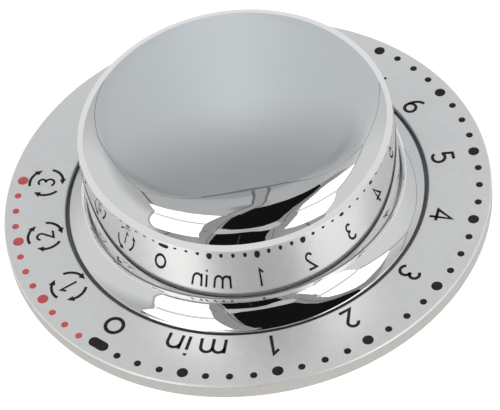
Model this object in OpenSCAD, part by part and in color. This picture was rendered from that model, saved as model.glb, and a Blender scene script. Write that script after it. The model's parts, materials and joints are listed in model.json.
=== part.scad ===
// Rotary control dial: a chromed grip and a printed scale ring that turn on a
// flat-backed rotary control. Millimetres, +Z out of the panel, z = 0 on the
// panel, and the scale's "0" mark at -Y.

/* [Dial] */
// Outside diameter of the scale ring
dial_d = 73.8; // [70:0.2:80]
// Height of the scale face above the panel
dial_z = 3; // [2.8:0.1:3.6]
// Thickness of the scale ring's flat
dial_t = 0.8; // [0.6:0.1:0.9]
// Diameter of the hole in the scale ring
dial_hole_d = 55.1; // [55.1:0.1:56]
// Width of the bevel round the scale ring's edge
dial_bevel = 0.35; // [0.1:0.05:0.5]

/* [Grip] */
// Radius of the grip wall where it is measured
grip_r = 23.46; // [23.3:0.02:23.7]
// Height above the scale face at which grip_r is measured
grip_r_z = 7; // [4:0.5:10]
// Draft angle of the grip wall, in degrees
grip_draft = 1.05; // [0.8:0.05:1.5]
// Height of the straight grip wall's top above the scale face
grip_wall_top = 12.8; // [12.4:0.1:12.9]
// Height of the straight grip wall's foot above the scale face
grip_wall_foot = 3.3; // [3.26:0.02:3.4]
// Radii of the shoulder's three arcs, from the wall to the top
shoulder_r = [27.9, 3.4, 7.385]; // [1:0.1:30]
// Radii of the concave foot's five arcs, from the wall to the lip
foot_r = [2.3, 3.15, 2.05, 3.3, 9.2]; // [1.5:0.05:10]
// Thickness of the chromed shell
shell_t = 1.6; // [1.4:0.1:1.8]

/* [Scale travel] */
// Turn from the "0" mark to the last mark of the black scale, in degrees
turn_black = 180; // [170:1:190]
// Turn from the "0" mark to the last mark of the red scale, in degrees
turn_red = 62.7; // [55:0.1:70]

/* [Control] */
// Diameter of the control shaft
shaft_d = 6; // [6:0.1:6.2]
// Depth left across the shaft's flat
shaft_flat = 4.5; // [4.3:0.1:4.8]
// Outside diameter of the metal control case
case_d = 23; // [22:0.1:23.2]
// Diameter of the bush's thread
bush_d = 9; // [8.8:0.1:9.2]

/* [Mounting] */
// Diameter of the fixed housing
housing_d = 38.4; // [38:0.1:38.6]
// Diameter of the circle of fixing holes
fixing_pcd = 29.6; // [29.2:0.1:29.8]
// Bore of the threaded inserts, for an M3 screw
insert_bore_d = 2.5; // [2.4:0.05:2.6]

/* [Hidden] */
$fn = 96;
eps = 0.01;

// Normal angles at which the outside of the grip changes from one arc to the next
shoulder_a = [grip_draft, 4.2, 45, 83.2];
foot_a = [grip_draft, 6, 16, 32, 48, 65.3];
lip_r = 0.3;
lip_bottom_z = 1.4;

// Rotating side
dial_r = dial_d / 2;
dial_hole_r = dial_hole_d / 2;
dial_bottom_z = 0.55;
rim_t = 1.4;
adhesive_t = 0.3;
flange_top_z = dial_z - dial_t - adhesive_t;
flange_r = dial_r - rim_t - 0.3;
skirt_out_r = 21.7;
skirt_in_r = 20.1;
web_z = 15;
web_t = 1.4;
hub_z = 12.9;
hub_h = 6.5;
hub_r = 5.6;
fit_gap = 0.03;
cap_screw_at_r = 13;
cap_screw_r = 1.1;
cap_boss_r = 2.6;
clip_z = 13.2;
clip_h = 1.6;
clip_in_r = 5.1;

// Control
shaft_r = shaft_d / 2;
shaft_bottom_z = 4.7;
shaft_top_z = 19.2;
flat_z = 12.6;
groove_r = 2.6;
groove_z = 6.85;
groove_h = 0.3;
case_r = case_d / 2;
sheet_t = 0.4;
case_bottom_z = 3.4;
wafer_t = 1;
rotor_r = 9.6;
rotor_z = 5.4;
rotor_t = 1.4;
tab_r = 10.8;
tab_half_a = 10;
stop_in_r = 9.9;
stop_gap_a = 0.5;
wiper_tip_r = 8;
bush_r = bush_d / 2 - 0.05;
bush_top_z = 12.4;
running_gap = 0.05;
o_ring_r = 0.4;
thread_pitch = 0.75;
thread_depth = 0.2;

// Fixed side
housing_r = housing_d / 2;
housing_in_r = 17;
housing_top_z = 9.5;
plate_t = 1.2;
ceiling_z = 8;
fixing_r = fixing_pcd / 2;
boss_r = 2.5;
insert_r = 1.9;
insert_h = 4;
plate_screw_r = 1;
washer_t = 0.5;
nut_h = 2;
nut_af = 12;
glide_z = 3;
glide_h = 2;
glide_in_r = 18.6;
glide_out_r = 19.75;
gasket_in_r = 17.6;
gasket_out_r = 18.6;
gasket_t = 0.6;
board_r = 11.9;
board_z = 2.2;
board_t = 1;
terminal_at_r = 9;
connector_y = 6;
connector_size = [9, 4, 2];
contact_count = 6;
contact_pitch = 1;

// Points after p on an arc of radius r, while the outward normal turns from
// a0 to a1. A negative radius makes the arc concave.
function arc(p, r, a0, a1, n) =
    [for (i = [1:n]) let (a = a0 + (a1 - a0) * i / n)
        p + r * ([cos(a), sin(a)] - [cos(a0), sin(a0)])];

// The same arcs joined end to end, with n[i] steps in arc i
function arcs(p, r, a, n, i = 0) =
    i == len(r) ? [] :
    let (step = arc(p, r[i], a[i], a[i + 1], n[i]))
        concat(step, arcs(step[len(step) - 1], r, a, n, i + 1));

function last(list) = list[len(list) - 1];
function reversed(list) = [for (i = [len(list) - 1:-1:0]) list[i]];
function grip_point(z) = [grip_r - tan(grip_draft) * (z - grip_r_z), dial_z + z];

// Outside of the grip: lip, concave foot, wall, shoulder and slightly domed top
foot_arc = arcs(grip_point(grip_wall_foot), -foot_r, foot_a, [3, 3, 4, 4, 4]);
lip_arc = arc(last(foot_arc), lip_r, last(foot_a), 0, 4);
shoulder_arc = arcs(grip_point(grip_wall_top), shoulder_r, shoulder_a, [3, 8, 8]);
dome_r = last(shoulder_arc)[0] / cos(last(shoulder_a));
dome_arc = arc(last(shoulder_arc), dome_r, last(shoulder_a), 90, 5);
grip_outside = concat(
    reversed(concat([grip_point(grip_wall_foot)], foot_arc, lip_arc)),
    [grip_point(grip_wall_top)], shoulder_arc, [for (p = dome_arc) [max(p[0], 0), p[1]]]);
top_z = last(dome_arc)[1];
cap_in_r = skirt_out_r + 0.1;
roof_z = top_z - shell_t;

module ring(r_out, r_in, z, h) {
    translate([0, 0, z]) difference() {
        cylinder(r = r_out, h = h);
        translate([0, 0, -eps]) cylinder(r = r_in, h = h + 2 * eps);
    }
}

// Children copied to n places round a circle, the first at angle a
module around(n, r, a = 0) {
    for (i = [0:n - 1]) rotate([0, 0, a + i * 360 / n]) translate([r, 0, 0]) children();
}

// Flat slice of a ring between two angles less than 180 degrees apart
module sector(r_out, r_in, a0, a1, z, h) {
    reach = 2 * r_out;
    middle = (a0 + a1) / 2;
    intersection() {
        ring(r_out, r_in, z, h);
        translate([0, 0, z - eps]) linear_extrude(h + 2 * eps)
            polygon(concat([[0, 0]], [for (a = [a0, middle, a1]) reach * [cos(a), sin(a)]]));
    }
}

// Round bar with one flat, along Z
module d_bar(r, flat_x, z, h) {
    translate([0, 0, z]) intersection() {
        cylinder(r = r, h = h);
        translate([-r - 1, -r - 1, -eps]) cube([r + 1 + flat_x, 2 * r + 2, h + 2 * eps]);
    }
}

// Crossed slots of a screwdriver recess, cut downwards from z = 0
module cross_recess(width, across, depth) {
    for (a = [0, 90]) rotate([0, 0, a])
        translate([-across / 2, -width / 2, -depth]) cube([across, width, depth + eps]);
}

module knob_cap() {
    color("silver") difference() {
        union() {
            rotate_extrude() polygon(concat(
                [[cap_in_r, lip_bottom_z], [last(lip_arc)[0], lip_bottom_z]],
                grip_outside,
                [[0, roof_z], [17, roof_z - 0.8], [20.6, roof_z - 2.2], [cap_in_r, roof_z - 4.3]]));
            around(3, cap_screw_at_r, 30) translate([0, 0, web_z + web_t])
                cylinder(r = cap_boss_r, h = roof_z - web_z - web_t);
        }
        around(3, cap_screw_at_r, 30) translate([0, 0, web_z + web_t - eps])
            cylinder(r = cap_screw_r + 0.02, h = 4);
    }
}

module knob_carrier() {
    step_r = dial_hole_r + 0.3;
    web_top_z = web_z + web_t;
    hub_top_z = hub_z + hub_h;
    color("dimgray") difference() {
        union() {
            rotate_extrude() polygon([
                [0, hub_z], [hub_r, hub_z], [hub_r, web_z], [skirt_in_r, web_z],
                [skirt_in_r, dial_bottom_z], [flange_r, dial_bottom_z], [flange_r, flange_top_z],
                [step_r, flange_top_z], [step_r, lip_bottom_z], [skirt_out_r, lip_bottom_z],
                [skirt_out_r, web_top_z], [hub_r, web_top_z], [hub_r, hub_top_z], [0, hub_top_z]]);
            around(6, 0) translate([hub_r - 0.3, -0.6, web_z - 1.6])
                cube([skirt_in_r - hub_r + 0.8, 1.2, 2]);
        }
        d_bar(shaft_r + fit_gap, shaft_flat - shaft_r + fit_gap, hub_z - eps, hub_h + 2 * eps);
        ring(hub_r + 0.05, clip_in_r - 0.02, clip_z - 0.05, clip_h + 0.1);
        translate([-0.4, -hub_r - 0.5, hub_z - eps]) cube([0.8, 2 * hub_r + 1, clip_h + 0.5]);
        around(3, cap_screw_at_r, 30) translate([0, 0, web_z - eps])
            cylinder(r = cap_screw_r + 0.2, h = web_t + 2 * eps);
    }
}

module dial_ring() {
    chamfer = 0.15;
    color("gainsboro") rotate_extrude() polygon([
        [dial_hole_r, dial_z - dial_t], [dial_r - rim_t, dial_z - dial_t],
        [dial_r - rim_t, dial_bottom_z], [dial_r, dial_bottom_z],
        [dial_r, dial_z - dial_bevel], [dial_r - dial_bevel, dial_z],
        [dial_hole_r + chamfer, dial_z], [dial_hole_r, dial_z - chamfer]]);
}

module dial_adhesive_ring() {
    color("black") ring(flange_r - 0.3, dial_hole_r + 0.6, flange_top_z, adhesive_t);
}

module cap_screws() {
    head_r = 1.9;
    head_h = 1.4;
    color("lightgray") around(3, cap_screw_at_r, 30) difference() {
        union() {
            translate([0, 0, web_z - head_h]) cylinder(r = head_r, h = head_h);
            translate([0, 0, web_z - eps]) cylinder(r = cap_screw_r, h = 4);
            translate([0, 0, web_z + 4 - 2 * eps]) cylinder(r1 = cap_screw_r, r2 = 0.4, h = 0.8);
        }
        translate([0, 0, web_z - head_h]) mirror([0, 0, 1]) cross_recess(0.5, 2.2, 0.8);
    }
}

module hub_spring_clip() {
    color("slategray") difference() {
        ring(hub_r, clip_in_r, clip_z, clip_h);
        translate([-hub_r - 1, -2, clip_z - eps]) cube([hub_r, 4, clip_h + 2 * eps]);
    }
}

module control_shaft() {
    chamfer = 0.5;
    color("goldenrod") difference() {
        union() {
            translate([0, 0, shaft_bottom_z])
                cylinder(r = shaft_r, h = shaft_top_z - chamfer - shaft_bottom_z);
            translate([0, 0, shaft_top_z - chamfer - eps])
                cylinder(r1 = shaft_r, r2 = shaft_r - chamfer, h = chamfer + eps);
        }
        ring(shaft_r + 1, groove_r, groove_z, groove_h);
        translate([shaft_flat - shaft_r, -shaft_r - 1, flat_z])
            cube([shaft_r, 2 * shaft_r + 2, shaft_top_z]);
    }
}

module retaining_ring() {
    inset = 0.02;
    color("slategray") difference() {
        ring(4.8, groove_r + inset, groove_z + inset, groove_h - 2 * inset);
        translate([0, -2.2, groove_z - eps]) cube([6, 4.4, groove_h + 2 * eps]);
    }
}

module wiper_rotor() {
    color("black") difference() {
        union() {
            translate([0, 0, rotor_z]) cylinder(r = rotor_r, h = rotor_t);
            sector(tab_r, rotor_r - 0.5, -90 - tab_half_a, -90 + tab_half_a, rotor_z, rotor_t);
        }
        translate([0, 0, rotor_z - eps]) cylinder(r = shaft_r + fit_gap, h = rotor_t + 2 * eps);
        translate([rotor_r - 2.6, -0.5, rotor_z + rotor_t - 0.25]) cube([2, 1, 1]);
    }
}

module wiper_contact() {
    plate_h = 0.2;
    track_gap = 0.06;
    wafer_top_z = case_bottom_z + wafer_t;
    color("gold") {
        ring(5.2, shaft_r + 0.6, rotor_z - plate_h, plate_h);
        for (y = [-1.2, 1.2]) translate([-wiper_tip_r, y - 0.5, 0]) {
            translate([0, 0, rotor_z - plate_h]) cube([wiper_tip_r - 4, 1, plate_h]);
            translate([0, 0, wafer_top_z + track_gap])
                cube([0.4, 1, rotor_z - wafer_top_z - track_gap]);
        }
    }
}

module base_housing() {
    color("darkslategray") difference() {
        union() {
            ring(housing_r, housing_in_r, plate_t, housing_top_z - plate_t);
            ring(housing_r, bush_r + 0.15, ceiling_z, housing_top_z - ceiling_z);
            around(3, fixing_r) cylinder(r = boss_r, h = ceiling_z + eps);
            around(3, fixing_r, 60) translate([0, 0, plate_t])
                cylinder(r = boss_r, h = ceiling_z - plate_t + eps);
        }
        ring(housing_r + 1, glide_in_r, glide_z, glide_h);
        around(3, fixing_r) translate([0, 0, -eps]) cylinder(r = insert_r + 0.02, h = insert_h + 0.1);
        around(3, fixing_r) translate([0, 0, insert_h]) cylinder(r = 1.6, h = 2.5);
        around(3, fixing_r, 60) translate([0, 0, plate_t - eps])
            cylinder(r = plate_screw_r + 0.02, h = 5);
        translate([7.05, -1, ceiling_z - eps]) cube([1, 2, 2]);
    }
}

module base_plate() {
    window = [connector_size[0] + 0.6, connector_size[1] + 0.6];
    color("dimgray") {
        difference() {
            cylinder(r = housing_r, h = plate_t);
            ring(gasket_out_r + 0.05, gasket_in_r - 0.05, -eps, gasket_t + 0.02 + eps);
            around(3, fixing_r) translate([0, 0, -eps]) cylinder(r = boss_r + 0.05, h = 2);
            around(3, fixing_r, 60) {
                translate([0, 0, -eps]) cylinder(r = plate_screw_r + 0.05, h = 2);
                cylinder(r1 = 2, r2 = plate_screw_r + 0.05, h = 0.95);
            }
            translate([-window[0] / 2, connector_y - window[1] / 2, -eps])
                cube([window[0], window[1], 2]);
        }
        around(3, 10, 90) translate([0, 0, plate_t - eps]) cylinder(r = 1.2, h = board_z - plate_t + eps);
    }
}

module base_plate_screws() {
    head_z = 0.05;
    head_h = 0.9;
    color("lightgray") around(3, fixing_r, 60) difference() {
        union() {
            translate([0, 0, head_z]) cylinder(r1 = 1.9, r2 = plate_screw_r, h = head_h);
            translate([0, 0, head_z + head_h - eps]) cylinder(r = plate_screw_r, h = 4.2);
            translate([0, 0, head_z + head_h + 4.2 - 2 * eps])
                cylinder(r1 = plate_screw_r, r2 = 0.3, h = 0.7);
        }
        translate([0, 0, head_z]) mirror([0, 0, 1]) cross_recess(0.4, 1.8, 0.5);
    }
}

module threaded_inserts() {
    color("goldenrod") around(3, fixing_r) difference() {
        ring(insert_r, insert_bore_d / 2, 0, insert_h);
        ring(insert_r + 1, insert_r - 0.25, insert_h / 2 - 0.4, 0.8);
    }
}

module panel_gasket() {
    color("black") ring(gasket_out_r, gasket_in_r, 0, gasket_t);
}

module glide_ring() {
    color("ivory") difference() {
        ring(glide_out_r, glide_in_r + 0.02, glide_z + 0.03, glide_h - 0.06);
        translate([0, -0.5, glide_z]) cube([glide_out_r + 1, 1, glide_h]);
    }
}

module control_case() {
    color("lightgray") {
        ring(case_r, case_r - sheet_t, case_bottom_z, ceiling_z - case_bottom_z);
        ring(case_r, bush_r + running_gap, ceiling_z - sheet_t, sheet_t);
        translate([7.25, -0.8, ceiling_z - sheet_t]) cube([0.6, 1.6, sheet_t + 1]);
    }
}

module end_stop() {
    first_a = -90 + tab_half_a + turn_red + stop_gap_a;
    last_a = -90 - tab_half_a - turn_black - stop_gap_a + 360;
    stop_z = case_bottom_z + wafer_t;
    color("black") sector(case_r - sheet_t - 0.05, stop_in_r, first_a, last_a, stop_z, 2.9);
}

module detent_spring() {
    leaf_z = ceiling_z - sheet_t - 0.2;
    bump_r = 0.5;
    color("silver") {
        ring(10, 7, leaf_z, 0.2);
        translate([rotor_r - 1.6, 0, leaf_z + eps]) intersection() {
            rotate([0, 90, 0]) cylinder(r = bump_r, h = 1.6, center = true);
            translate([-1, -1, -1]) cube([2, 2, 1]);
        }
    }
}

module track_wafer() {
    wafer_r = case_r - sheet_t - 0.05;
    color("saddlebrown") translate([0, 0, case_bottom_z]) cylinder(r = wafer_r, h = wafer_t);
}

module track_terminals() {
    color("silver") for (y = [-2.5, 0, 2.5])
        translate([-terminal_at_r - 0.2, y - 0.4, 1.7]) cube([0.4, 0.8, case_bottom_z - 1.7]);
}

// Turned thread, drawn as rings
function thread_rings(z0, z1) =
    [for (z = [z0:thread_pitch:z1 - thread_pitch], side = [0, 1])
        [bush_r - side * thread_depth, z + (side + 0.5) * thread_pitch / 2]];

module threaded_bush() {
    flange_r = 5.5;
    flange_z = 7.2;
    bore_r = shaft_r + running_gap;
    seat_r = bore_r + 2 * o_ring_r + 0.05;
    seat_z = bush_top_z - 1;
    color("silver") rotate_extrude() polygon(concat(
        [[bore_r, flange_z], [flange_r, flange_z], [flange_r, ceiling_z - sheet_t],
            [bush_r, ceiling_z - sheet_t]],
        thread_rings(housing_top_z, bush_top_z),
        [[bush_r - thread_depth, bush_top_z], [seat_r, bush_top_z], [seat_r, seat_z],
            [bore_r, seat_z]]));
}

module shaft_o_ring() {
    centre_r = shaft_r + running_gap + 0.03 + o_ring_r;
    color("black") translate([0, 0, bush_top_z - 0.5])
        rotate_extrude() translate([centre_r, 0]) circle(r = o_ring_r);
}

module lock_washer() {
    tooth_count = 8;
    color("lightgray") difference() {
        ring(7.2, bush_r + 0.1, housing_top_z, washer_t);
        around(tooth_count, bush_r + 0.9) translate([0, 0, housing_top_z - eps])
            cylinder(r = 0.6, h = washer_t + 2 * eps);
    }
}

module hex_nut() {
    nut_z = housing_top_z + washer_t;
    color("silver") translate([0, 0, nut_z]) difference() {
        cylinder(r = nut_af / 2 / cos(30), h = nut_h, $fn = 6);
        translate([0, 0, -eps]) cylinder(r = bush_r + running_gap, h = nut_h + 2 * eps);
    }
}

module circuit_board() {
    color("darkgreen") difference() {
        translate([0, 0, board_z]) cylinder(r = board_r, h = board_t);
        for (y = [-2.5, 0, 2.5]) translate([-terminal_at_r, y, board_z - eps])
            cylinder(r = 0.5, h = board_t + 2 * eps);
    }
}

module ribbon_connector() {
    slot = [contact_count * contact_pitch + 0.8, 1.2, 1.5];
    bottom_z = board_z - connector_size[2];
    color("ivory") difference() {
        translate([-connector_size[0] / 2, connector_y - connector_size[1] / 2, bottom_z])
            cube(connector_size);
        translate([-slot[0] / 2, connector_y - slot[1] / 2, bottom_z - eps]) cube(slot);
    }
}

module connector_contacts() {
    blade = [0.4, 0.3, 1];
    slot_roof_z = board_z - connector_size[2] + 1.5 - eps;
    first_x = -(contact_count - 1) * contact_pitch / 2;
    color("gold") for (i = [0:contact_count - 1])
        translate([first_x + i * contact_pitch - blade[0] / 2, connector_y - blade[1] / 2,
            slot_roof_z - blade[2]]) cube(blade);
}

knob_cap();
knob_carrier();
dial_ring();
dial_adhesive_ring();
cap_screws();
hub_spring_clip();
control_shaft();
retaining_ring();
wiper_rotor();
wiper_contact();
base_housing();
base_plate();
base_plate_screws();
threaded_inserts();
panel_gasket();
glide_ring();
control_case();
end_stop();
detent_spring();
track_wafer();
track_terminals();
threaded_bush();
shaft_o_ring();
lock_washer();
hex_nut();
circuit_board();
ribbon_connector();
connector_contacts();
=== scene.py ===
import json
import math

import bmesh
import bpy
from mathutils import Matrix, Vector


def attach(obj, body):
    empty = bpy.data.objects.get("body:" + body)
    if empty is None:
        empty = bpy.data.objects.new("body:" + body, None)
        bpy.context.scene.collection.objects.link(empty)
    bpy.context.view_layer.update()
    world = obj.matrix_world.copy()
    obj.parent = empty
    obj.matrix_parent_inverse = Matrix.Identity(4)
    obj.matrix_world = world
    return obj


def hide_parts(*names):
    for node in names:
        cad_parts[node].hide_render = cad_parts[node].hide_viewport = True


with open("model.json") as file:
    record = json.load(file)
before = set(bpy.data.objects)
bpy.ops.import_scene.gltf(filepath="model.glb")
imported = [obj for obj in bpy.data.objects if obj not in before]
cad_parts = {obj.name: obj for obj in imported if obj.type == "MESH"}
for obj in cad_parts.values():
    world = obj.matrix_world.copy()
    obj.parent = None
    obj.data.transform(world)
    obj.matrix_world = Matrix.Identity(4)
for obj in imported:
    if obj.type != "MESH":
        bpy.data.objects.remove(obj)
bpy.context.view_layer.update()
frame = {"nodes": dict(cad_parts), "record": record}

MM = 0.001
scene = bpy.context.scene

# Sizes shared with part.scad, in millimetres
DIAL_Z = 3.0
DIAL_R = 36.9
DIAL_HOLE_R = 27.55
DIAL_T = 0.8
DIAL_BOTTOM_Z = 0.55
DIAL_BEVEL = 0.35
DIAL_CHAMFER = 0.15
RIM_T = 1.4
GRIP_R = 23.46
GRIP_R_Z = 7.0
GRIP_DRAFT = 1.05
GRIP_WALL_FOOT = 3.3
GRIP_WALL_TOP = 12.8
SHOULDER_R = (27.9, 3.4, 7.385)
SHOULDER_A = (1.05, 4.2, 45.0, 83.2)
FOOT_R = (2.3, 3.15, 2.05, 3.3, 9.2)
FOOT_A = (1.05, 6.0, 16.0, 32.0, 48.0, 65.3)
LIP_R = 0.3
LIP_BOTTOM_Z = 1.4
CAP_IN_R = 21.8
SHELL_T = 1.6
WEB_TOP_Z = 16.4
CAP_SCREW_AT_R = 13.0
CAP_BOSS_R = 2.6
CAP_PILOT_R = 1.12
CAP_SCREW_COUNT = 3
CAP_SCREW_START = 30

# Finer than the CAD: steps of each turned surface
LATHE_STEPS = 512
FOOT_STEPS = (10, 12, 16, 16, 18)
LIP_STEPS = 10
WALL_STEPS = 8
SHOULDER_STEPS = (10, 36, 36)
DOME_STEPS = 24
EDGE_BREAK = 0.1
SMOOTH_ANGLE = 40
# Inside of the grip's roof: radius and drop under the roof's middle
ROOF_INSIDE = ((0, 0), (17, 0.8), (20.6, 2.2), (CAP_IN_R, 4.3))

# The photograph's angle: where the camera stands and how it is turned, in the row frame
CAMERA_AT = (171.160, -172.614, 267.424)
CAMERA_RIGHT = (0.78876, 0.60407, -0.11380)
CAMERA_UP = (-0.39273, 0.63766, 0.66269)
CAMERA_BACK = (0.47287, -0.47801, 0.74020)
CAMERA_LENS = 171.77


def link(obj):
    scene.collection.objects.link(obj)
    return obj


def mesh_object(name, bm, smooth_angle=None):
    """Closed bmesh in millimetres -> object in metres."""
    bmesh.ops.scale(bm, vec=(MM, MM, MM), verts=bm.verts)
    bmesh.ops.recalc_face_normals(bm, faces=bm.faces)
    mesh = bpy.data.meshes.new(name)
    bm.to_mesh(mesh)
    bm.free()
    obj = link(bpy.data.objects.new(name, mesh))
    if smooth_angle is not None:
        mesh.shade_smooth()
        mesh.set_sharp_from_angle(angle=math.radians(smooth_angle))
    return obj


def lathe(bm, profile, steps=384):
    """Revolves a closed profile of (r, z) points round Z."""
    rings = []
    for r, z in profile:
        if r < 1e-6:
            rings.append([bm.verts.new((0, 0, z))])
        else:
            rings.append([bm.verts.new((r * math.cos(2 * math.pi * k / steps),
                                        r * math.sin(2 * math.pi * k / steps), z)) for k in range(steps)])
    for i, low in enumerate(rings):
        high = rings[(i + 1) % len(rings)]
        if len(low) == 1 and len(high) == 1:
            continue
        for k in range(steps):
            n = (k + 1) % steps
            corners = []
            for v in (low[k % len(low)], low[n % len(low)], high[n % len(high)], high[k % len(high)]):
                if v not in corners:
                    corners.append(v)
            bm.faces.new(corners)


def arc(point, radius, a0, a1, steps):
    """Points after point while the outward normal turns from a0 to a1 degrees."""
    start = math.radians(a0)
    out = []
    for i in range(1, steps + 1):
        a = math.radians(a0 + (a1 - a0) * i / steps)
        out.append((point[0] + radius * (math.cos(a) - math.cos(start)),
                    point[1] + radius * (math.sin(a) - math.sin(start))))
    return out


def arcs(point, radii, angles, steps):
    out = []
    for i, radius in enumerate(radii):
        out += arc(point, radius, angles[i], angles[i + 1], steps[i])
        point = out[-1]
    return out


def grip_point(z):
    return (GRIP_R - math.tan(math.radians(GRIP_DRAFT)) * (z - GRIP_R_Z), DIAL_Z + z)


# Grip

def grip_outside():
    """Lip, concave foot, wall, shoulder and domed top, from the lip up."""
    foot = arcs(grip_point(GRIP_WALL_FOOT), [-r for r in FOOT_R], FOOT_A, FOOT_STEPS)
    lip = arc(foot[-1], LIP_R, FOOT_A[-1], 0, LIP_STEPS)
    wall = [grip_point(GRIP_WALL_FOOT + (GRIP_WALL_TOP - GRIP_WALL_FOOT) * i / WALL_STEPS)
            for i in range(WALL_STEPS + 1)]
    shoulder = arcs(wall[-1], SHOULDER_R, SHOULDER_A, SHOULDER_STEPS)
    dome_r = shoulder[-1][0] / math.cos(math.radians(SHOULDER_A[-1]))
    dome = arc(shoulder[-1], dome_r, SHOULDER_A[-1], 90, DOME_STEPS)
    dome[-1] = (0, dome[-1][1])
    return list(reversed(foot + lip)) + wall + shoulder + dome


def make_grip():
    outside = grip_outside()
    roof = outside[-1][1] - SHELL_T
    lip_r = outside[0][0]
    profile = [(CAP_IN_R, LIP_BOTTOM_Z), (lip_r - EDGE_BREAK, LIP_BOTTOM_Z), (lip_r, LIP_BOTTOM_Z + EDGE_BREAK)]
    profile += outside + [(r, roof - drop) for r, drop in ROOF_INSIDE]
    bm = bmesh.new()
    lathe(bm, profile, LATHE_STEPS)
    for k in range(CAP_SCREW_COUNT):
        a = math.radians(CAP_SCREW_START + 360 / CAP_SCREW_COUNT * k)
        boss = bmesh.new()
        lathe(boss, [(CAP_PILOT_R, WEB_TOP_Z + 0.02), (CAP_BOSS_R, WEB_TOP_Z + 0.02),
                     (CAP_BOSS_R, roof - 0.3), (CAP_PILOT_R, roof - 0.3)], 48)
        place = (CAP_SCREW_AT_R * math.cos(a), CAP_SCREW_AT_R * math.sin(a), 0)
        bmesh.ops.translate(boss, vec=place, verts=boss.verts)
        mesh = bpy.data.meshes.new("boss")
        boss.to_mesh(mesh)
        boss.free()
        bm.from_mesh(mesh)
        bpy.data.meshes.remove(mesh)
    obj = mesh_object("chrome_grip", bm, SMOOTH_ANGLE)
    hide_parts("knob_cap")
    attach(obj, "knob")
    return obj


# Scale ring

def make_dial():
    bevel = [(DIAL_R - DIAL_BEVEL + DIAL_BEVEL * math.sin(math.radians(a)),
              DIAL_Z - DIAL_BEVEL + DIAL_BEVEL * math.cos(math.radians(a))) for a in range(0, 91, 10)]
    bevel.reverse()
    profile = [(DIAL_HOLE_R, DIAL_Z - DIAL_T), (DIAL_R - RIM_T, DIAL_Z - DIAL_T),
               (DIAL_R - RIM_T, DIAL_BOTTOM_Z), (DIAL_R - EDGE_BREAK, DIAL_BOTTOM_Z),
               (DIAL_R, DIAL_BOTTOM_Z + EDGE_BREAK)]
    profile += bevel + [(DIAL_HOLE_R + DIAL_CHAMFER, DIAL_Z), (DIAL_HOLE_R, DIAL_Z - DIAL_CHAMFER)]
    bm = bmesh.new()
    lathe(bm, profile, LATHE_STEPS)
    obj = mesh_object("scale_ring", bm, SMOOTH_ANGLE)
    for material in ("satin_silver", "rim_painted_shade", "bright_edge"):
        obj.data.materials.append(MATERIALS[material])
    for face in obj.data.polygons:
        r = Vector(face.center.xy).length / MM
        # Faces of the upright outer rim take the darker material: painted shade on the side of the ring
        if abs(face.normal.z) < 0.3 and r > DIAL_R - 0.2:
            face.material_index = 1
        if abs(face.normal.z) < 0.9 and r < DIAL_HOLE_R + DIAL_CHAMFER:
            face.material_index = 2
    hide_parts("dial_ring")
    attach(obj, "knob")
    return obj


# Print on the scale ring: flat strokes, each a thin closed prism. Sizes in millimetres, angles in degrees

INK_LOW = DIAL_Z - 0.02
INK_HIGH = DIAL_Z + 0.015


def prism(bm, outline, z0=INK_LOW, z1=INK_HIGH):
    """A flat slab over an outline."""
    low = [bm.verts.new((x, y, z0)) for x, y in outline]
    high = [bm.verts.new((x, y, z1)) for x, y in outline]
    bm.faces.new(low)
    bm.faces.new(high)
    for i in range(len(outline)):
        n = (i + 1) % len(outline)
        bm.faces.new((low[i], low[n], high[n], high[i]))


def disc(bm, x, y, radius, steps=40):
    prism(bm, [(x + radius * math.cos(2 * math.pi * k / steps),
                y + radius * math.sin(2 * math.pi * k / steps)) for k in range(steps)])


def ribbon(bm, points, width, closed=False, z0=INK_LOW, z1=INK_HIGH):
    """A stroke of constant width along points."""
    count = len(points)
    sides = []
    for i, p in enumerate(points):
        before = points[i - 1] if i > 0 or closed else None
        after = points[(i + 1) % count] if i < count - 1 or closed else None
        dirs = []
        for a, b in ((before, p), (p, after)):
            if a is not None and b is not None:
                dirs.append((Vector(b) - Vector(a)).normalized())
        along = sum(dirs, Vector((0, 0))).normalized()
        normal = Vector((-along.y, along.x))
        stretch = 1 / max(0.5, normal.dot(Vector((-dirs[0].y, dirs[0].x))))
        sides.append((Vector(p) + normal * width / 2 * stretch, Vector(p) - normal * width / 2 * stretch))
    rows = [[bm.verts.new((q.x, q.y, z)) for q, z in ((s[0], z0), (s[1], z0), (s[1], z1), (s[0], z1))]
            for s in sides]
    for i in range(count if closed else count - 1):
        a, b = rows[i], rows[(i + 1) % count]
        for k in range(4):
            bm.faces.new((a[k], a[(k + 1) % 4], b[(k + 1) % 4], b[k]))
    if not closed:
        bm.faces.new(rows[0])
        bm.faces.new(rows[-1])


def bow(x, y, rx, a0, a1, ry=None, steps=20):
    """Points on an arc, for a stroke."""
    ry = rx if ry is None else ry
    return [(x + rx * math.cos(math.radians(a0 + (a1 - a0) * i / steps)),
             y + ry * math.sin(math.radians(a0 + (a1 - a0) * i / steps))) for i in range(steps + 1)]


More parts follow.
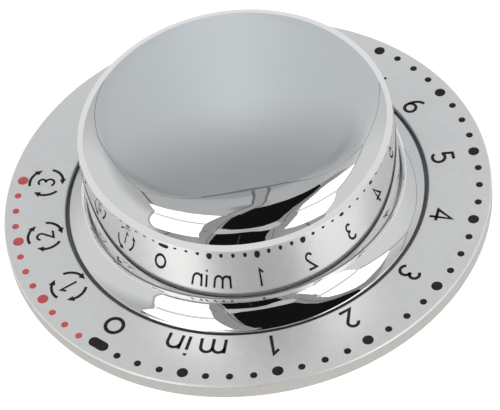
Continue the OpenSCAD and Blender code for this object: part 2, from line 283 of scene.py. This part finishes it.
# Strokes of each sign, in units of its height, from its middle
GLYPHS = {
    "1": [[(-0.20, 0.27), (0.03, 0.47), (0.03, -0.5)]],
    "2": [bow(0, 0.22, 0.22, 165, -30) + [(-0.23, -0.45), (0.27, -0.45)]],
    "3": [bow(-0.01, 0.23, 0.21, 150, -85), bow(-0.01, -0.2, 0.25, 92, -150)],
    "4": [[(0.32, -0.2), (-0.3, -0.2), (0.12, 0.44), (0.12, -0.5)]],
    "5": [[(0.22, 0.45), (-0.14, 0.45), (-0.19, 0.06)] + bow(0, -0.17, 0.27, 125, -145)],
    "6": [bow(0, -0.2, 0.25, 0, 360), bow(0.24, -0.18, 0.49, 178, 100, 0.62)],
    "m": [[(-0.5, -0.5), (-0.5, 0.22)], bow(-0.25, -0.06, 0.25, 180, 0, 0.25) + [(0, -0.5)],
          bow(0.25, -0.06, 0.25, 180, 0, 0.25) + [(0.5, -0.5)]],
    "i": [[(0, -0.5), (0, 0.2)], [(0, 0.38), (0, 0.5)]],
    "n": [[(-0.28, -0.5), (-0.28, 0.22)], bow(0, -0.08, 0.28, 180, 0, 0.27) + [(0.28, -0.5)]],
    "a": [bow(0, -0.16, 0.3, 0, 360, 0.31), [(0.32, 0.2), (0.32, -0.5)]],
    "x": [[(-0.25, -0.5), (0.25, 0.2)], [(-0.25, 0.2), (0.25, -0.5)]],
}


def on_dial(r, theta):
    """Place on the scale, theta in degrees from the 0 mark, counted as the numbers rise."""
    a = math.radians(theta - 90)
    return r * math.cos(a), r * math.sin(a)


def sign(bm, name, r, theta, height, weight, turn=0):
    """A sign with its top outwards."""
    cx, cy = on_dial(r, theta)
    a = math.radians(theta - 90 + turn)
    out, along = Vector((math.cos(a), math.sin(a))), Vector((math.sin(a), -math.cos(a)))
    for stroke in GLYPHS[name]:
        points = [Vector((cx, cy)) + along * x * height + out * y * height for x, y in stroke]
        closed = (points[0] - points[-1]).length < 1e-6
        ribbon(bm, points[:-1] if closed else points, weight, closed)


BLACK_DOTS = 32
RED_DOTS = 12
BIG_DOT_R = 0.82
SMALL_DOT_R = 0.525
BIG_AT_R = 34.86
SMALL_AT_R = 35.05
STEP = 5.625
ZERO_MARK_AT_R = 34.69
ZERO_MARK_ENDS = ((1.02, -90), (-1.72, 90))
ZERO_AT_R = 30.8
ZERO_TURN = -90.8
ZERO_R = 1.32
ZERO_W = 0.56
ZERO_STEPS = 40
NUMERALS = 6
NUMERAL_START = 45
NUMERAL_STEP = 22.5
LETTERS_AT = (("m", 28.4), ("i", 21.4), ("n", 17.3), ("m", 186.0), ("a", 179.0), ("x", 173.4))
SIGN_AT_R = 30.1
SIGN_H = 3.5
SIGN_W = 0.48
ARROW_R = 2.6
ARROW_W = 0.44
ARROW_HEAD = 0.52
ARROW_HEAD_OVERLAP = 4
ARROW_HEAD_SPAN = 20
ARROW_SPAN = 66
ARROW_START = 20.3
SETTING_H = 2.75
SETTING_W = 0.36
RED_START = -6.19
RED_STEP = -5.11
RED_SHIFT = (0.115, -0.206)
SETTING_AT = ((30.72, -20.9), (30.85, -41.5), (31.12, -61.8))


def dots(bm, count, start, step, big_first, shift=(0, 0)):
    """A row of dots, every fourth one big. big_first moves the first big dot back along the row."""
    for k in range(count):
        big = (k + big_first) % 4 == 0
        x, y = on_dial(BIG_AT_R if big else SMALL_AT_R, start + step * k)
        disc(bm, x + shift[0], y + shift[1], BIG_DOT_R if big else SMALL_DOT_R)


def arrow_ring(bm, x, y, radius, face):
    """Three curved arrows that chase each other clockwise."""
    for k in range(3):
        start = face + ARROW_START + 120 * k
        end = start - ARROW_SPAN
        ribbon(bm, bow(x, y, radius, start, end, steps=16), ARROW_W)
        neck, tip = math.radians(end + ARROW_HEAD_OVERLAP), math.radians(end - ARROW_HEAD_SPAN)
        prism(bm, [(x + r * math.cos(a), y + r * math.sin(a))
                   for r, a in ((radius - ARROW_HEAD, neck), (radius, tip), (radius + ARROW_HEAD, neck))])


def zero_mark():
    """A long dot along the rim at 0."""
    outline = []
    for theta, start in ZERO_MARK_ENDS:
        x, y = on_dial(ZERO_MARK_AT_R, theta)
        outline += bow(x, y, BIG_DOT_R, theta + start, theta + start + 180)
    return outline


def make_print():
    black = bmesh.new()
    dots(black, BLACK_DOTS, STEP, STEP, 1)
    prism(black, zero_mark())
    red = bmesh.new()
    dots(red, RED_DOTS, RED_START, RED_STEP, 1, RED_SHIFT)
    signs = bmesh.new()
    for k in range(NUMERALS):
        sign(signs, str(k + 1), SIGN_AT_R, NUMERAL_START + NUMERAL_STEP * k, SIGN_H, SIGN_W)
    ring = [(ZERO_AT_R * math.cos(math.radians(ZERO_TURN)) + ZERO_R * math.cos(2 * math.pi * k / ZERO_STEPS),
             ZERO_AT_R * math.sin(math.radians(ZERO_TURN)) + ZERO_R * math.sin(2 * math.pi * k / ZERO_STEPS))
            for k in range(ZERO_STEPS)]
    ribbon(signs, ring, ZERO_W, True)
    for letter, theta in LETTERS_AT:
        sign(signs, letter, SIGN_AT_R, theta, SIGN_H, SIGN_W)
    for k, (r, theta) in enumerate(SETTING_AT):
        sign(signs, str(k + 1), r, theta, SETTING_H, SETTING_W)
        arrow_ring(signs, *on_dial(r, theta), ARROW_R, theta - 90)
    for name, bm, material in (("black_scale_dots", black, "ink_black"), ("red_scale_dots", red, "ink_red"),
                               ("scale_signs", signs, "ink_black")):
        obj = mesh_object(name, bm)
        obj.data.materials.append(MATERIALS[material])
        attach(obj, "knob")


# Materials

def surface(name, colour, metallic=0.0, roughness=0.5, vary=0.06, rough_vary=0.05, bump=0.02, scale=300.0,
            stretch=(1, 1, 1), specular=0.5, anisotropic=0.0, coat=0.0):
    """A Principled surface with a fine procedural grain in its colour, roughness and relief."""
    material = bpy.data.materials.new(name)
    material.use_nodes = True
    nodes, links = material.node_tree.nodes, material.node_tree.links
    shader = nodes["Principled BSDF"]
    shader.inputs["Metallic"].default_value = metallic
    shader.inputs["Specular IOR Level"].default_value = specular
    shader.inputs["Anisotropic"].default_value = anisotropic
    shader.inputs["Coat Weight"].default_value = coat
    place = nodes.new("ShaderNodeTexCoord")
    mapping = nodes.new("ShaderNodeMapping")
    mapping.inputs["Scale"].default_value = stretch
    noise = nodes.new("ShaderNodeTexNoise")
    noise.inputs["Scale"].default_value = scale
    noise.inputs["Detail"].default_value = 4.0
    links.new(place.outputs["Object"], mapping.inputs["Vector"])
    links.new(mapping.outputs["Vector"], noise.inputs["Vector"])
    ramp = nodes.new("ShaderNodeValToRGB")
    ramp.color_ramp.elements[0].position = 0.3
    ramp.color_ramp.elements[1].position = 0.7
    ramp.color_ramp.elements[0].color = [c * (1 - vary) for c in colour] + [1]
    ramp.color_ramp.elements[1].color = [min(1, c * (1 + vary)) for c in colour] + [1]
    links.new(noise.outputs["Fac"], ramp.inputs["Fac"])
    links.new(ramp.outputs["Color"], shader.inputs["Base Color"])
    spread = nodes.new("ShaderNodeMapRange")
    spread.inputs["From Min"].default_value = 0.3
    spread.inputs["From Max"].default_value = 0.7
    spread.inputs["To Min"].default_value = max(0, roughness - rough_vary)
    spread.inputs["To Max"].default_value = roughness + rough_vary
    links.new(noise.outputs["Fac"], spread.inputs["Value"])
    links.new(spread.outputs["Result"], shader.inputs["Roughness"])
    if bump:
        relief = nodes.new("ShaderNodeBump")
        relief.inputs["Strength"].default_value = bump
        relief.inputs["Distance"].default_value = 0.0001
        links.new(noise.outputs["Fac"], relief.inputs["Height"])
        links.new(relief.outputs["Normal"], shader.inputs["Normal"])
    return material


# Each row: colour, metallic, roughness, spread of colour, spread of roughness, relief, grain, its stretch
MATERIALS = {
    "chrome": surface("chrome", (0.86, 0.87, 0.88), 1.0, 0.012, 0.01, 0.006, 0, 60),
    "satin_silver": surface("satin_silver", (0.84, 0.84, 0.84), 0.6, 0.36, 0.02, 0.04, 0.02, 900),
    # rim_painted_shade: painted shade, a darker warm grey on the scale ring's upright rim than on its face,
    # standing in for how light falls on that side
    "rim_painted_shade": surface("rim_painted_shade", (0.53, 0.515, 0.50), 0.3, 0.5, 0.03, 0.05, 0.02, 900),
    "bright_edge": surface("bright_edge", (0.84, 0.84, 0.84), 0.5, 0.4, 0.02, 0.03, 0.02, 900),
    "grey_plastic": surface("grey_plastic", (0.21, 0.21, 0.215), 0, 0.35, 0.1, 0.06, 0.12, 1500),
    "ink_black": surface("ink_black", (0.020, 0.016, 0.015), 0, 0.5, 0.2, 0.05, 0.02, 900, specular=0.2),
    "ink_red": surface("ink_red", (0.56, 0.08, 0.08), 0, 0.5, 0.1, 0.05, 0.02, 900),
    "black_plastic": surface("black_plastic", (0.075, 0.075, 0.078), 0, 0.45, 0.15, 0.06, 0.15, 1500),
    "black_foam": surface("black_foam", (0.02, 0.02, 0.02), 0, 0.9, 0.3, 0.05, 0.5, 2500),
    "zinc_steel": surface("zinc_steel", (0.62, 0.64, 0.66), 1, 0.3, 0.08, 0.08, 0.08, 800),
    "spring_steel": surface("spring_steel", (0.42, 0.44, 0.47), 1, 0.28, 0.08, 0.06, 0.06, 700, (1, 1, 8)),
    "brass": surface("brass", (0.75, 0.55, 0.26), 1, 0.25, 0.06, 0.06, 0.06, 600, (1, 1, 10)),
    "contact_metal": surface("contact_metal", (0.83, 0.64, 0.30), 1, 0.2, 0.05, 0.05, 0.04, 600),
    "black_rubber": surface("black_rubber", (0.02, 0.02, 0.021), 0, 0.75, 0.25, 0.06, 0.25, 1800),
    "white_plastic": surface("white_plastic", (0.80, 0.79, 0.74), 0, 0.42, 0.03, 0.05, 0.06, 900),
    "tinned_steel": surface("tinned_steel", (0.68, 0.68, 0.66), 1, 0.35, 0.07, 0.08, 0.06, 500),
    "board_brown": surface("board_brown", (0.26, 0.14, 0.06), 0, 0.6, 0.12, 0.05, 0.1, 900, (1, 6, 1)),
    "board_green": surface("board_green", (0.03, 0.17, 0.07), 0, 0.35, 0.12, 0.06, 0.08, 1200),
}


def dress_cad():
    """Gives each CAD piece the material of its slot."""
    slots = {s["node"]: s["material_slot"] for s in frame["record"]["subparts"]}
    for name, obj in frame["nodes"].items():
        material = MATERIALS[slots[name]]
        if obj.data.materials:
            for i in range(len(obj.data.materials)):
                obj.data.materials[i] = material
        else:
            obj.data.materials.append(material)


# Studio: a pale floor and, for the chrome to mirror, a light tent with an open front between two bright
# panels. Places in the tent are (azimuth from the camera, elevation) in degrees, levels are greys from 0 to 255

CAMERA_AZ = math.degrees(math.atan2(CAMERA_AT[1], CAMERA_AT[0]))
CHROME = 0.87
TENT_R = 2.6
TENT_LOW = -40
TENT_TOP = 89
TENT_STEP_UP = 2
TENT_STEP_ROUND = 3
OPENING_HIGH_GREY = 18
OPENING_LOW_GREY = 17
FLOOR_HALF = 1500
FLOOR_GLOW = 0.52
TENT_FLOOR_GREY = 212
OVERHEAD_SIZE = 1.2
OVERHEAD_POWER = 6.8
OVERHEAD_HEIGHT = 1.6
BACKDROP_LEVEL = 0.93
PANEL_GREY = 300
PANEL_TINT = (1.0, 0.985, 0.95)


def linear(grey):
    """Light level of a grey given on the 0 to 255 display scale."""
    c = grey / 255
    return c / 12.92 if c < 0.04045 else ((c + 0.055) / 1.055) ** 2.4


def fade(x, start, end):
    """0 before start, 1 after end, smooth between."""
    t = min(1, max(0, (x - start) / (end - start)))
    return t * t * (3 - 2 * t)


def bump_at(x, middle, width):
    return math.exp(-((x - middle) / width) ** 2)


def direction(azimuth, elevation):
    """Unit vector for an azimuth counted from the camera and an elevation, in degrees."""
    a, e = math.radians(CAMERA_AZ + azimuth), math.radians(elevation)
    return Vector((math.cos(a) * math.cos(e), math.sin(a) * math.cos(e), math.sin(e)))


def glow(name):
    """Emission whose strength comes from the mesh's own colours."""
    material = bpy.data.materials.new(name)
    material.use_nodes = True
    nodes, links = material.node_tree.nodes, material.node_tree.links
    nodes.clear()
    level = nodes.new("ShaderNodeAttribute")
    level.attribute_name = "level"
    light = nodes.new("ShaderNodeEmission")
    out = nodes.new("ShaderNodeOutputMaterial")
    links.new(level.outputs["Color"], light.inputs["Color"])
    links.new(light.outputs["Emission"], out.inputs["Surface"])
    return material


def tent_piece(name, bm, levels):
    """Part of the tent, seen only in what it lights. levels are one (grey, tint) for each vertex."""
    mesh = bpy.data.meshes.new(name)
    bm.to_mesh(mesh)
    bm.free()
    colours = mesh.attributes.new("level", "FLOAT_COLOR", "POINT")
    for i, (grey, tint) in enumerate(levels):
        colours.data[i].color = [linear(grey) / CHROME * t for t in tint] + [1]
    obj = link(bpy.data.objects.new(name, mesh))
    mesh.materials.append(glow(name))
    obj.visible_camera = False
    obj.visible_shadow = False


def panel(name, corners, distance, grey, tint=(1, 1, 1)):
    """A panel. Corners are (azimuth from the camera, elevation); grey is a number or a function of them."""
    bm = bmesh.new()
    bm.faces.new([bm.verts.new((a, e, 0)) for a, e in corners])
    bmesh.ops.triangulate(bm, faces=bm.faces)
    bmesh.ops.subdivide_edges(bm, edges=bm.edges, cuts=9, use_grid_fill=True)
    levels = []
    for v in bm.verts:
        levels.append((grey(v.co.x, v.co.y) if callable(grey) else grey, tint))
        v.co = direction(v.co.x, v.co.y) * distance
    tent_piece(name, bm, levels)


def seam(name, points, width, grey, distance=2.4, shift=(0, 0)):
    """A narrow fold of the tent along points. width and sideways shift are degrees at its start and end."""
    width = width if isinstance(width, tuple) else (width, width)
    dense = []
    for p, q in zip(points, points[1:]):
        u, v = direction(*p), direction(*q)
        dense += [(u * (1 - i / 8) + v * (i / 8)).normalized() for i in range(8)]
    dense.append(direction(*points[-1]))
    bm = bmesh.new()
    rows = []
    for i, d in enumerate(dense):
        along = dense[min(i + 1, len(dense) - 1)] - dense[max(i - 1, 0)]
        side = d.cross(along).normalized()
        t = i / (len(dense) - 1)
        wide, moved = (w[0] * (1 - t) + w[1] * t for w in (width, shift))
        rows.append([bm.verts.new((d + side * math.radians(moved + k * wide / 2)) * distance)
                     for k in (1, -1)])
    for p, q in zip(rows, rows[1:]):
        bm.faces.new((p[0], p[1], q[1], q[0]))
    tent_piece(name, bm, [(grey, (1, 1, 1))] * len(bm.verts))


def cloth_level(azimuth, elevation):
    """Grey of the white cloth: walls, back and roof. The back is cooler than the walls."""
    a = azimuth % 360
    right, left = 1 - fade(a, 118, 140), fade(a, 206, 222)
    patch = 14 * bump_at(a, 179, 7) * (1 - fade(elevation, 46, 56))
    back = 187 + patch - 8 * fade(a, 186, 206) - 38 * fade(elevation, 44, 60)
    right_wall = 204 - 12 * fade(a, 96, 126) - 26 * fade(elevation, 34, 52)
    left_wall = 204 - 22 * (1 - fade(a, 213, 236)) - 34 * fade(elevation, 34, 52)
    level = back * (1 - right - left) + right_wall * right + left_wall * left
    roof = 170 - 45 * fade(elevation, 82, 89)
    return level + (roof - level) * fade(elevation, 60, 68)


def cool_tint(azimuth, elevation):
    cool = fade(azimuth % 360, 120, 140) * (1 - fade(azimuth % 360, 206, 222)) * (1 - fade(elevation, 66, 80))
    return 1 - 0.045 * cool, 1, 1 + 0.03 * cool


def make_cloth():
    bm = bmesh.new()
    levels = []
    rings = []
    for e in range(TENT_LOW, TENT_TOP, TENT_STEP_UP):
        ring = []
        for a in range(0, 360, TENT_STEP_ROUND):
            ring.append(bm.verts.new(direction(a, e) * TENT_R))
            levels.append((cloth_level(a, e), cool_tint(a, e)))
        rings.append(ring)
    top = bm.verts.new((0, 0, TENT_R))
    levels.append((cloth_level(180, 90), (1, 1, 1)))
    for low, high in zip(rings, rings[1:]):
        for k in range(len(low)):
            n = (k + 1) % len(low)
            bm.faces.new((low[k], low[n], high[n], high[k]))
    for k in range(len(rings[-1])):
        bm.faces.new((rings[-1][k], rings[-1][(k + 1) % len(rings[-1])], top))
    tent_piece("tent_cloth", bm, levels)


FRONT_FRAME = ((-38, -40), (48, -40), (47, -13), (51, 5), (57, 22), (63, 38), (90, 42), (93, 56), (88, 63),
               (60, 62), (40, 84), (0, 85), (-24, 80), (-38, 74), (-38.5, 55), (-36, 40), (-33, 9))
LEFT_SKIRT = ((-66, 9), (-66, -38), (-29, -38), (-29, 9))
LEFT_PANEL = ((-94, 53.5), (-80, 49), (-76, 45), (-66, 20), (-62, 9), (-33, 9), (-36, 40), (-38.5, 55),
              (-38.5, 73), (-50, 72.5), (-65, 70), (-80, 65))
RIGHT_PANEL = ((19, 2), (26, -6), (33, -9), (46, -12), (51, 5), (57, 22), (64, 37), (92, 40), (88, 48), (79, 56),
               (72, 57.5), (58, 56.5), (47, 54), (40, 50), (30, 36), (24, 20))
STRIPE = ((-27, 46), (19, 43), (20, 36), (18, 27), (10, 20), (-23, 27), (-27, 32))
OPENING_HIGH = ((-23, 47), (-22.5, 58), (-21, 70), (-17, 75), (-10, 80), (0, 83), (20, 84), (40, 82), (60, 79),
                (75, 72), (87, 64), (80, 61), (55, 60.5), (40, 58), (28, 52), (20, 45), (8, 42), (-15, 44))
OPENING_LOW = ((-23.5, 29), (-6, 30), (0, 28), (5, 22), (11, 18.5), (8, 0), (7, -12), (7, -42), (-29.5, -42),
               (-28, -20), (-25, 5))
ROOF_BAND = ((176.5, 61), (173, 70), (168, 77), (150, 84), (60, 87.5), (-12, 84), (-24, 76))

# Each fold: name, points, width, grey, and for some the distance and the sideways shift
FOLDS = (
    ("opening_cord", ((-8, 18), (-9.5, -10), (-11, -32)), 0.5, 70),
    ("roof_band", ROOF_BAND, (2.0, 5.6), 152, 2.42),
    ("roof_band_left", ROOF_BAND, (0.4, 1.0), 106, 2.4, (0.9, 2.6)),
    ("roof_band_right", ROOF_BAND, (0.4, 1.0), 104, 2.4, (-0.9, -2.6)),
    ("opening_left_edge", ((-26, 70), (-26.5, 66), (-28, 50), (-28, 20), (-29.5, 0), (-32, -30)), 0.7, 106, 2.4,
     (1.5, 1.5)),
    ("opening_right_edge", ((14, 22), (12, 0), (10.5, -38)), 1.0, 118),
    ("left_knot", ((-33, 37), (-32.5, 40)), 1.6, 100),
    ("right_knot", ((18.5, 26), (19, 29)), 1.2, 110),
    ("right_curve", ((22, 33), (24, 42), (31, 50), (42, 56), (55, 58.7), (75, 59.5), (90, 57)), 1.0, 112),
    ("left_fold", ((-76, 45.5), (-60, 50.5), (-38, 54)), 3.6, 205),
    ("right_fold", ((36, 47.5), (50, 42.5), (64, 36.5)), 3.2, 200),
    ("left_pleat", ((-51.5, 8), (-52.5, 0), (-55, -11)), 1.4, 98),
    ("right_pleat", ((33, -10), (35, -22), (37.5, -35)), 1.4, 104),
    ("left_corner", ((-157, 0), (-151, 10), (-146, 20), (-141, 32), (-140, 45), (-130, 52), (-120, 56.5)), 1.2,
     138),
    ("left_eave", ((-120, 56.5), (-94, 55)), 1.6, 112),
    ("left_rail", ((-94, 52), (-80, 47), (-77, 44), (-66, 16), (-62, 6)), 1.6, 168, 2.47),
    ("right_corner", ((137, 0), (130, 13), (124, 22), (118, 31), (109, 39)), 1.0, 152),
    ("right_rail", ((66, 36), (80, 38), (93, 39.5), (109, 39.5), (106, 50)), 1.2, 150),
    ("back_eave", ((106, 50), (108, 60), (115, 65), (125, 67.5), (140, 68.5), (155, 66.5), (170, 60.5),
                   (190, 60.5), (195, 63), (205, 65.3), (215, 65.5), (225, 63.5), (240, 57)), 0.35, 112),
)


def make_tent():
    """Cloth, then the panels, each a little nearer than the one behind it, then the folds."""
    make_cloth()
    panel("front_frame", FRONT_FRAME, 2.52, lambda a, e: 140 + 12 * fade(a, 12, 24) * (1 - fade(e, 0, 20)))
    panel("left_skirt", LEFT_SKIRT, 2.50,
          lambda a, e: 142 + 14 * bump_at(a, -38, 4) + 50 * (1 - fade(a, -64, -57)))
    panel("left_panel", LEFT_PANEL, 2.46, PANEL_GREY, PANEL_TINT)
    panel("right_panel", RIGHT_PANEL, 2.46, PANEL_GREY, PANEL_TINT)
    panel("stripe", STRIPE, 2.45, lambda a, e: 180 - 12 * bump_at(a, -4, 8))
    panel("opening_high", OPENING_HIGH, 2.43, OPENING_HIGH_GREY)
    panel("opening_low", OPENING_LOW, 2.43, OPENING_LOW_GREY)
    for fold in FOLDS:
        seam(*fold)


# Edge of the mirrored floor: azimuth from the camera and distance in millimetres
TENT_FLOOR_EDGE = ((-90, 900), (-62, 170), (-30, 62), (0, 50), (38, 52), (55, 80), (80, 300), (110, 1400),
                   (180, 1400), (250, 1400))


def stage_plane(name, corners, material):
    bm = bmesh.new()
    bm.faces.new([bm.verts.new((x * MM, y * MM, 0)) for x, y in corners])
    mesh = bpy.data.meshes.new(name)
    bm.to_mesh(mesh)
    bm.free()
    obj = link(bpy.data.objects.new(name, mesh))
    mesh.materials.append(material)
    return obj


def make_floor():
    """A floor for the camera, and a darker one round the part that only the chrome mirrors."""
    sheet = surface("floor_sheet", (0.9, 0.9, 0.9), 0, 0.7, 0.01, 0.02, 0, 40)
    shader = sheet.node_tree.nodes["Principled BSDF"]
    shader.inputs["Emission Color"].default_value = (1, 1, 1, 1)
    shader.inputs["Emission Strength"].default_value = FLOOR_GLOW
    corners = [(x * FLOOR_HALF, y * FLOOR_HALF) for x, y in ((-1, -1), (1, -1), (1, 1), (-1, 1))]
    floor = stage_plane("floor", corners, sheet)
    floor.visible_glossy = False
    inside = bpy.data.materials.new("tent_floor")
    inside.use_nodes = True
    shader = inside.node_tree.nodes["Principled BSDF"]
    shader.inputs["Base Color"].default_value = (0.02, 0.02, 0.02, 1)
    shader.inputs["Roughness"].default_value = 0.9
    shader.inputs["Emission Color"].default_value = (1.0, 0.995, 0.98, 1)
    shader.inputs["Emission Strength"].default_value = linear(TENT_FLOOR_GREY) / CHROME
    near = stage_plane("tent_floor", [(direction(a, 0) * r).xy for a, r in TENT_FLOOR_EDGE], inside)
    near.visible_camera = False
    near.visible_diffuse = False
    near.visible_shadow = False


def make_overhead():
    data = bpy.data.lights.new("overhead", "AREA")
    data.shape = "DISK"
    data.size = OVERHEAD_SIZE
    data.energy = OVERHEAD_POWER
    light = link(bpy.data.objects.new("overhead", data))
    light.location = (0, 0, OVERHEAD_HEIGHT)
    light.visible_glossy = False
    light.visible_camera = False


def make_backdrop():
    world = bpy.data.worlds.new("tent")
    scene.world = world
    world.use_nodes = True
    world.node_tree.nodes["Background"].inputs["Color"].default_value = (1, 1, 1, 1)
    world.node_tree.nodes["Background"].inputs["Strength"].default_value = BACKDROP_LEVEL


def make_camera():
    data = bpy.data.cameras.new("camera")
    data.sensor_width = 36
    data.lens = CAMERA_LENS
    data.clip_start, data.clip_end = 0.01, 50
    camera = link(bpy.data.objects.new("camera", data))
    turn = Matrix((CAMERA_RIGHT, CAMERA_UP, CAMERA_BACK)).transposed().to_4x4()
    camera.matrix_world = Matrix.Translation([c * MM for c in CAMERA_AT]) @ turn
    scene.camera = camera


make_camera()
dress_cad()
make_grip().data.materials.append(MATERIALS["chrome"])
make_dial()
make_print()
make_tent()
make_floor()
make_overhead()
make_backdrop()
scene.view_settings.view_transform = "Standard"
